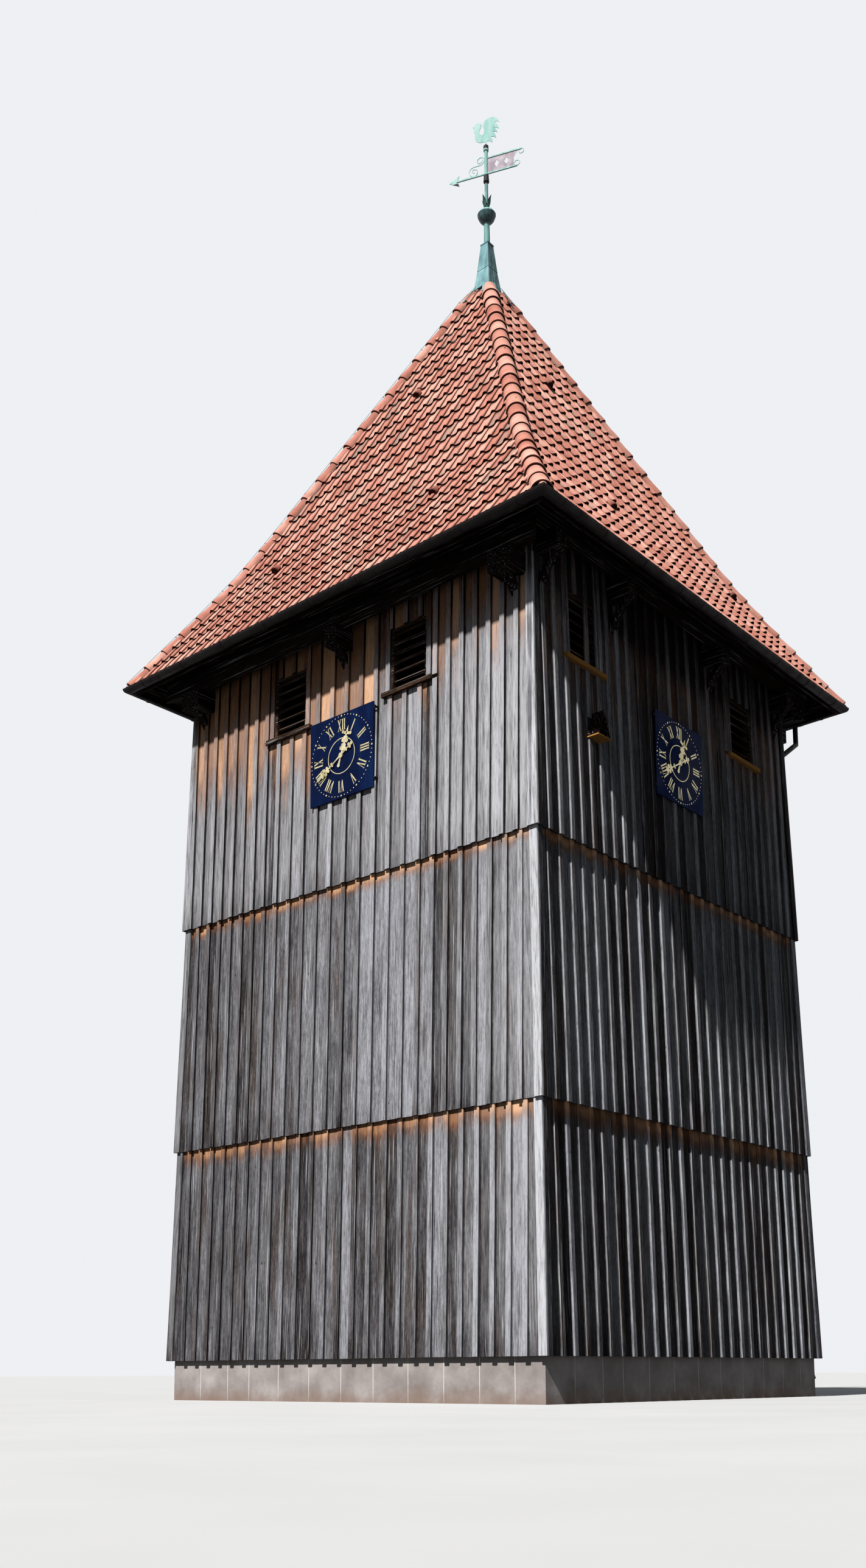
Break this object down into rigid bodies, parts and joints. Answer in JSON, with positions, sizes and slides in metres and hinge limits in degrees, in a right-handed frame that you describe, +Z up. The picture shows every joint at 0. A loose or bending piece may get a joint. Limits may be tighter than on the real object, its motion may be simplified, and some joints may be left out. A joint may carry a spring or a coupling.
{
  "type": "wooden clock tower",
  "caption": "Board-clad wooden clock tower on a square stone plinth, with louvred sound openings, clock dials, a bell-cast tiled pyramid roof and a turning weather vane.",
  "frame": {"origin": "centre of the square base at ground level", "axes": "+Z up, the front with its dial towards -Y, the second dial towards +X"},
  "size_m": [7.9918, 7.9918, 20.764],
  "materials": {
    "plinth_stone": "rough dressed stone",
    "weathered_boards": "weathered silver-grey and brown boards",
    "louvre_wood": "weathered wood",
    "floor_wood": "rough boards",
    "eaves_wood": "dark timber",
    "roof_tile": "fired clay tile",
    "gutter_metal": "dark weathered sheet",
    "dial_paint": "dark blue paint",
    "hand_gilt": "gilt",
    "nest_wood": "weathered wood",
    "copper_green": "verdigris copper",
    "copper_dark": "dark patina",
    "copper_pink": "brown copper with green edges",
    "iron_dark": "dark patina"
  },
  "bodies": {
    "tower": {"plinth_front": "plinth_stone", "plinth_right": "plinth_stone", "plinth_back": "plinth_stone", "plinth_left": "plinth_stone", "lower_wall_front": "weathered_boards", "lower_wall_right": "weathered_boards", "lower_wall_back": "weathered_boards", "lower_wall_left": "weathered_boards", "middle_wall_front": "weathered_boards", "middle_wall_right": "weathered_boards", "middle_wall_back": "weathered_boards", "middle_wall_left": "weathered_boards", "upper_wall_front": "weathered_boards", "upper_wall_right": "weathered_boards", "upper_wall_back": "weathered_boards", "upper_wall_left": "weathered_boards", "louvres_front": "louvre_wood", "louvres_right": "louvre_wood", "louvres_back": "louvre_wood", "louvres_left": "louvre_wood", "chamber_floor": "floor_wood", "lower_beams": "eaves_wood", "upper_beams": "eaves_wood", "knee_braces": "eaves_wood", "purlin_front": "eaves_wood", "purlin_right": "eaves_wood", "purlin_back": "eaves_wood", "purlin_left": "eaves_wood", "roof_front": "roof_tile", "roof_right": "roof_tile", "roof_back": "roof_tile", "roof_left": "roof_tile", "hip_tiles": "roof_tile", "gutter_front": "gutter_metal", "gutter_right": "gutter_metal", "gutter_back": "gutter_metal", "gutter_left": "gutter_metal", "downpipe": "gutter_metal", "dial_front": "dial_paint", "dial_right": "dial_paint", "nest_box": "nest_wood", "copper_cone": "copper_green", "finial_ball": "copper_green", "leaf_crown": "copper_dark", "vane_spindle": "iron_dark"},
    "vane": {"vane_frame": "copper_green", "pennant": "copper_pink", "rooster": "copper_dark"},
    "front_minute": {"minute_hand_front": "hand_gilt"},
    "front_hour": {"hour_hand_front": "hand_gilt"},
    "right_minute": {"minute_hand_right": "hand_gilt"},
    "right_hour": {"hour_hand_right": "hand_gilt"}
  },
  "joints": [
    {"name": "vane_turn", "type": "hinge", "parent": "tower", "child": "vane", "pos_m": [0, 0, 19.9], "axis": [0, 0, 1], "continuous": true},
    {"name": "front_minute_turn", "type": "hinge", "parent": "tower", "child": "front_minute", "pos_m": [0, -3.305, 8.703], "axis": [0, 1, 0], "continuous": true},
    {"name": "front_hour_turn", "type": "hinge", "parent": "tower", "child": "front_hour", "pos_m": [0, -3.305, 8.703], "axis": [0, 1, 0], "continuous": true},
    {"name": "right_minute_turn", "type": "hinge", "parent": "tower", "child": "right_minute", "pos_m": [3.305, 0, 8.703], "axis": [-1, 0, 0], "continuous": true},
    {"name": "right_hour_turn", "type": "hinge", "parent": "tower", "child": "right_hour", "pos_m": [3.305, 0, 8.703], "axis": [-1, 0, 0], "continuous": true}
  ],
  "couplings": [
    {"joint": "front_hour_turn", "follows": "front_minute_turn", "ratio": 0.083333},
    {"joint": "right_hour_turn", "follows": "right_minute_turn", "ratio": 0.083333}
  ]
}
